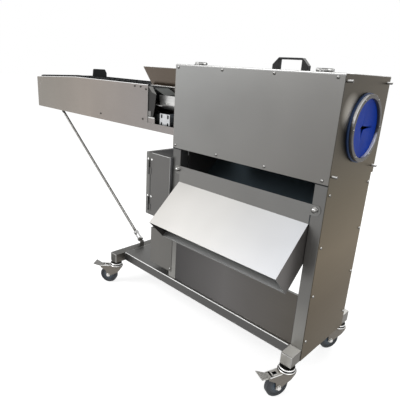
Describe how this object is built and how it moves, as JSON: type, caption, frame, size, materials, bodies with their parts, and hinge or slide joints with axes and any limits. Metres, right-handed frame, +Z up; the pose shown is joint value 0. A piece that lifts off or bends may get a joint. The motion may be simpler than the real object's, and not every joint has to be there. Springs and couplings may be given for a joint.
{
  "type": "vegetable peeling machine",
  "caption": "Floor-standing carrot peeling machine on casters: peeling head with a lid, long infeed belt, slit discharge port, peel chute and control box.",
  "frame": {"origin": "middle of the footprint on the floor, under the centre of the bounding box", "axes": "+X from the infeed conveyor to the discharge port, +Y from the chute side to the back, +Z up"},
  "size_m": [2.377, 0.6023, 1.278],
  "materials": {
    "sheet_steel": "brushed",
    "tube_steel": "brushed",
    "box_steel": "brushed",
    "bright_steel": "polished",
    "black_plastic": "matte",
    "membrane_rubber": "satin",
    "motor_paint": "satin",
    "chain_steel": "oiled",
    "roller_rubber": "matte",
    "belt_rubber": "matte",
    "roller_steel": "turned",
    "plate_aluminium": "satin",
    "wheel_rubber": "matte",
    "red_plastic": "gloss",
    "green_plastic": "gloss"
  },
  "bodies": {
    "machine": {"front_cover": "sheet_steel", "right_side_plate": "sheet_steel", "left_end_plate": "sheet_steel", "back_cover": "sheet_steel", "top_strip": "sheet_steel", "peel_chute": "sheet_steel", "lower_panel": "sheet_steel", "side_guard": "sheet_steel", "conveyor_panels": "sheet_steel", "conveyor_bed": "sheet_steel", "inlet_hopper": "sheet_steel", "feed_trough": "sheet_steel", "base_cross_tubes": "tube_steel", "base_tray": "tube_steel", "posts": "tube_steel", "frame_rails": "tube_steel", "inner_wall": "tube_steel", "control_box": "box_steel", "cover_screws": "bright_steel", "side_studs": "bright_steel", "lid_hinges": "bright_steel", "chute_bolts": "bright_steel", "discharge_ring": "bright_steel", "stay_rod": "bright_steel", "caster_mounts": "bright_steel", "discharge_membrane": "membrane_rubber", "gear_motor": "motor_paint", "drive_chains": "chain_steel", "conveyor_belt": "belt_rubber", "conveyor_motor": "plate_aluminium"},
    "lid": {"lid": "sheet_steel", "lid_handle": "black_plastic"},
    "control_door": {"control_door": "box_steel"},
    "emergency_stop": {"emergency_stop": "red_plastic"},
    "start_button": {"start_button": "green_plastic"},
    "stop_button": {"stop_button": "red_plastic"},
    "speed_knob": {"speed_knob": "black_plastic"},
    "motor_sprocket": {"motor_sprocket": "chain_steel"},
    "feed_roller_1": {"feed_roller_1": "roller_rubber"},
    "feed_roller_2": {"feed_roller_2": "roller_rubber"},
    "feed_roller_3": {"feed_roller_3": "roller_rubber"},
    "upper_roller_1": {"upper_roller_1": "roller_rubber"},
    "upper_roller_2": {"upper_roller_2": "roller_rubber"},
    "knife_arm_1": {"knife_arm_1": "bright_steel"},
    "knife_arm_2": {"knife_arm_2": "bright_steel"},
    "knife_arm_3": {"knife_arm_3": "bright_steel"},
    "knife_arm_4": {"knife_arm_4": "bright_steel"},
    "conveyor_drive_roller": {"conveyor_drive_roller": "roller_steel"},
    "conveyor_tail_roller": {"conveyor_tail_roller": "roller_steel"},
    "conveyor_sprocket": {"conveyor_sprocket": "chain_steel"},
    "caster_fork_1": {"caster_fork_1": "bright_steel"},
    "caster_fork_2": {"caster_fork_2": "bright_steel"},
    "caster_fork_3": {"caster_fork_3": "bright_steel"},
    "caster_fork_4": {"caster_fork_4": "bright_steel"},
    "caster_wheel_1": {"caster_wheel_1": "wheel_rubber"},
    "caster_wheel_2": {"caster_wheel_2": "wheel_rubber"},
    "caster_wheel_3": {"caster_wheel_3": "wheel_rubber"},
    "caster_wheel_4": {"caster_wheel_4": "wheel_rubber"},
    "brake_pedal_1": {"brake_pedal_1": "black_plastic"},
    "brake_pedal_2": {"brake_pedal_2": "black_plastic"}
  },
  "joints": [
    {"name": "lid_hinge", "type": "hinge", "parent": "machine", "child": "lid", "pos_m": [0.773, -0.0735, 1.2312], "axis": [1, 0, 0], "range_deg": [0, 95]},
    {"name": "door_hinge", "type": "hinge", "parent": "machine", "child": "control_door", "pos_m": [0.22635, -0.1425, 0.646], "axis": [0, 0, 1], "range_deg": [0, 110]},
    {"name": "start_button_press", "type": "slide", "parent": "control_door", "child": "start_button", "axis": [1, 0, 0], "range_m": [0, 0.005], "stiffness_N_per_m": 300},
    {"name": "stop_button_press", "type": "slide", "parent": "control_door", "child": "stop_button", "axis": [1, 0, 0], "range_m": [0, 0.005], "stiffness_N_per_m": 300},
    {"name": "emergency_stop_press", "type": "slide", "parent": "control_door", "child": "emergency_stop", "axis": [1, 0, 0], "range_m": [0, 0.005], "stiffness_N_per_m": 300},
    {"name": "speed_turn", "type": "hinge", "parent": "control_door", "child": "speed_knob", "pos_m": [0.2002, -0.0185, 0.601], "axis": [-1, 0, 0], "range_deg": [-135, 135]},
    {"name": "feed_2_spin", "type": "hinge", "parent": "machine", "child": "feed_roller_2", "pos_m": [0.773, 0.0665, 0.967], "axis": [0, 1, 0], "continuous": true},
    {"name": "motor_spin", "type": "hinge", "parent": "machine", "child": "motor_sprocket", "pos_m": [0.773, 0.2165, 0.638], "axis": [0, 1, 0], "continuous": true},
    {"name": "feed_1_spin", "type": "hinge", "parent": "machine", "child": "feed_roller_1", "pos_m": [0.526, 0.0665, 0.967], "axis": [0, 1, 0], "continuous": true},
    {"name": "feed_3_spin", "type": "hinge", "parent": "machine", "child": "feed_roller_3", "pos_m": [1.02, 0.0665, 0.967], "axis": [0, 1, 0], "continuous": true},
    {"name": "upper_1_spin", "type": "hinge", "parent": "machine", "child": "upper_roller_1", "pos_m": [0.526, 0.0665, 1.117], "axis": [0, 1, 0], "continuous": true},
    {"name": "upper_2_spin", "type": "hinge", "parent": "machine", "child": "upper_roller_2", "pos_m": [1.02, 0.0665, 1.117], "axis": [0, 1, 0], "continuous": true},
    {"name": "knife_1_swing", "type": "hinge", "parent": "machine", "child": "knife_arm_1", "pos_m": [0.6095, 0.0665, 1.14], "axis": [0, -1, 0], "range_deg": [0, 20], "stiffness_Nm_per_rad": 2, "springref_deg": -20.05},
    {"name": "knife_2_swing", "type": "hinge", "parent": "machine", "child": "knife_arm_2", "pos_m": [0.6095, 0.0665, 0.944], "axis": [0, 1, 0], "range_deg": [0, 20], "stiffness_Nm_per_rad": 2, "springref_deg": -20.05},
    {"name": "knife_3_swing", "type": "hinge", "parent": "machine", "child": "knife_arm_3", "pos_m": [0.8565, 0.0665, 1.14], "axis": [0, -1, 0], "range_deg": [0, 20], "stiffness_Nm_per_rad": 2, "springref_deg": -20.05},
    {"name": "knife_4_swing", "type": "hinge", "parent": "machine", "child": "knife_arm_4", "pos_m": [0.8565, 0.0665, 0.944], "axis": [0, 1, 0], "range_deg": [0, 20], "stiffness_Nm_per_rad": 2, "springref_deg": -20.05},
    {"name": "conveyor_drive_spin", "type": "hinge", "parent": "machine", "child": "conveyor_drive_roller", "pos_m": [0.0162, 0.0665, 1.0737], "axis": [0, 1, 0], "continuous": true},
    {"name": "conveyor_tail_spin", "type": "hinge", "parent": "machine", "child": "conveyor_tail_roller", "pos_m": [-1.1382, 0.0665, 1.05199], "axis": [0, 1, 0], "continuous": true},
    {"name": "conveyor_motor_spin", "type": "hinge", "parent": "machine", "child": "conveyor_sprocket", "pos_m": [0.1815, 0.1475, 0.947], "axis": [0, 1, 0], "continuous": true},
    {"name": "caster_1_swivel", "type": "hinge", "parent": "machine", "child": "caster_fork_1", "pos_m": [1.1395, -0.1725, 0.108], "axis": [0, 0, 1], "continuous": true},
    {"name": "caster_1_roll", "type": "hinge", "parent": "caster_fork_1", "child": "caster_wheel_1", "pos_m": [1.12242, -0.21087, 0.048], "axis": [0.9135, -0.4067, 0], "continuous": true},
    {"name": "brake_1_press", "type": "hinge", "parent": "caster_fork_1", "child": "brake_pedal_1", "pos_m": [1.10696, -0.24558, 0.097], "axis": [0.9135, -0.4067, 0], "range_deg": [0, 18]},
    {"name": "caster_2_swivel", "type": "hinge", "parent": "machine", "child": "caster_fork_2", "pos_m": [-0.0085, -0.1725, 0.108], "axis": [0, 0, 1], "continuous": true},
    {"name": "caster_2_roll", "type": "hinge", "parent": "caster_fork_2", "child": "caster_wheel_2", "pos_m": [-0.0429, -0.19659, 0.048], "axis": [0.5736, -0.8192, 0], "continuous": true},
    {"name": "brake_2_press", "type": "hinge", "parent": "caster_fork_2", "child": "brake_pedal_2", "pos_m": [-0.07403, -0.21839, 0.097], "axis": [0.5736, -0.8192, 0], "range_deg": [0, 18]},
    {"name": "caster_3_swivel", "type": "hinge", "parent": "machine", "child": "caster_fork_3", "pos_m": [1.1395, 0.2635, 0.108], "axis": [0, 0, 1], "continuous": true},
    {"name": "caster_3_roll", "type": "hinge", "parent": "caster_fork_3", "child": "caster_wheel_3", "pos_m": [1.12043, 0.22608, 0.048], "axis": [0.891, -0.454, 0], "continuous": true},
    {"name": "caster_4_swivel", "type": "hinge", "parent": "machine", "child": "caster_fork_4", "pos_m": [-0.0085, 0.2635, 0.108], "axis": [0, 0, 1], "continuous": true},
    {"name": "caster_4_roll", "type": "hinge", "parent": "caster_fork_4", "child": "caster_wheel_4", "pos_m": [-0.02286, 0.22403, 0.048], "axis": [0.9397, -0.342, 0], "continuous": true}
  ],
  "couplings": [
    {"joint": "motor_spin", "follows": "feed_2_spin", "ratio": 1},
    {"joint": "feed_1_spin", "follows": "feed_2_spin", "ratio": 1},
    {"joint": "feed_3_spin", "follows": "feed_2_spin", "ratio": 1},
    {"joint": "conveyor_tail_spin", "follows": "conveyor_drive_spin", "ratio": 1},
    {"joint": "conveyor_motor_spin", "follows": "conveyor_drive_spin", "ratio": 1}
  ]
}
